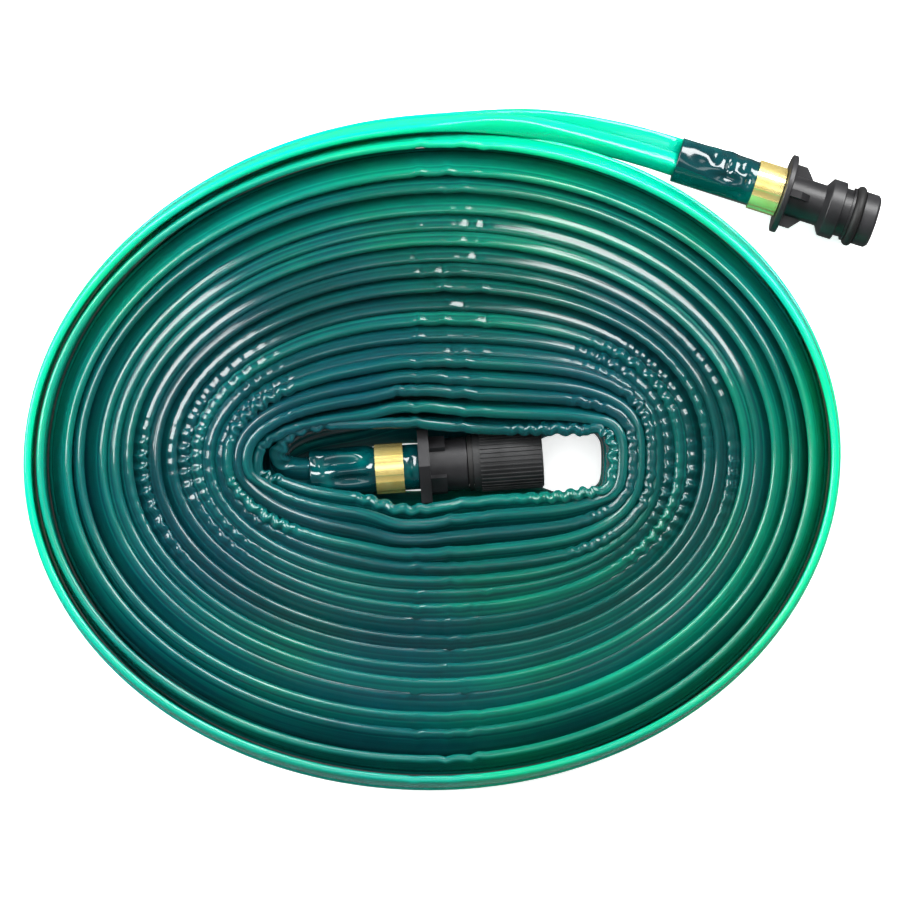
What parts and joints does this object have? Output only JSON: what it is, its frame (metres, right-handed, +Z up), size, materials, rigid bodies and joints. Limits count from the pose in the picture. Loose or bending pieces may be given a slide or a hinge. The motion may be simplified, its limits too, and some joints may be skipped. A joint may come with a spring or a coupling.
{
  "type": "sprinkler hose",
  "caption": "Flat channelled green sprinkler hose wound on edge into an oval coil, with a crimped snap-in connector outside and a screw-capped end fitting inside.",
  "frame": {"origin": "under the middle of the whole object, on the surface it lies on", "axes": "+Z up, +X along the coil's long axis towards the outer connector, +Y across it, so that the hose leaves the coil at +Y"},
  "size_m": [0.2378, 0.1903, 0.028],
  "materials": {
    "hose": "glossy translucent soft vinyl",
    "end_sleeve": "glossy dark soft vinyl",
    "brass": "bright crimped brass",
    "black_plastic": "fine satin moulded plastic",
    "cap_plastic": "satin ribbed moulded plastic",
    "black_rubber": "soft matte rubber"
  },
  "bodies": {
    "hose_assembly": {"hose_coil_upper": "hose", "hose_lead_upper": "hose", "hose_tail_upper": "hose", "hose_coil_middle": "hose", "hose_lead_middle": "hose", "hose_tail_middle": "hose", "hose_coil_lower": "hose", "hose_lead_lower": "hose", "hose_tail_lower": "hose", "connector_body": "black_plastic", "connector_o_ring": "black_rubber", "outer_ferrule": "brass", "outer_end_sleeve": "end_sleeve", "end_fitting_body": "black_plastic", "end_gasket": "black_rubber", "inner_ferrule": "brass", "inner_end_sleeve": "end_sleeve"},
    "cap_seal": {"end_cap_seal": "black_rubber"},
    "screw_cap": {"end_cap": "cap_plastic"}
  },
  "joints": [
    {"name": "cap_travel", "type": "slide", "parent": "hose_assembly", "child": "cap_seal", "axis": [0.9974, 0.0715, 0], "range_m": [0, 0.0075]},
    {"name": "cap_turn", "type": "hinge", "parent": "cap_seal", "child": "screw_cap", "pos_m": [-0.0213, -0.0051, 0.014], "axis": [0.9974, 0.0715, 0], "range_deg": [0, 1080]}
  ],
  "couplings": [
    {"joint": "cap_turn", "follows": "cap_travel", "rad_per_m": 2513.3}
  ]
}
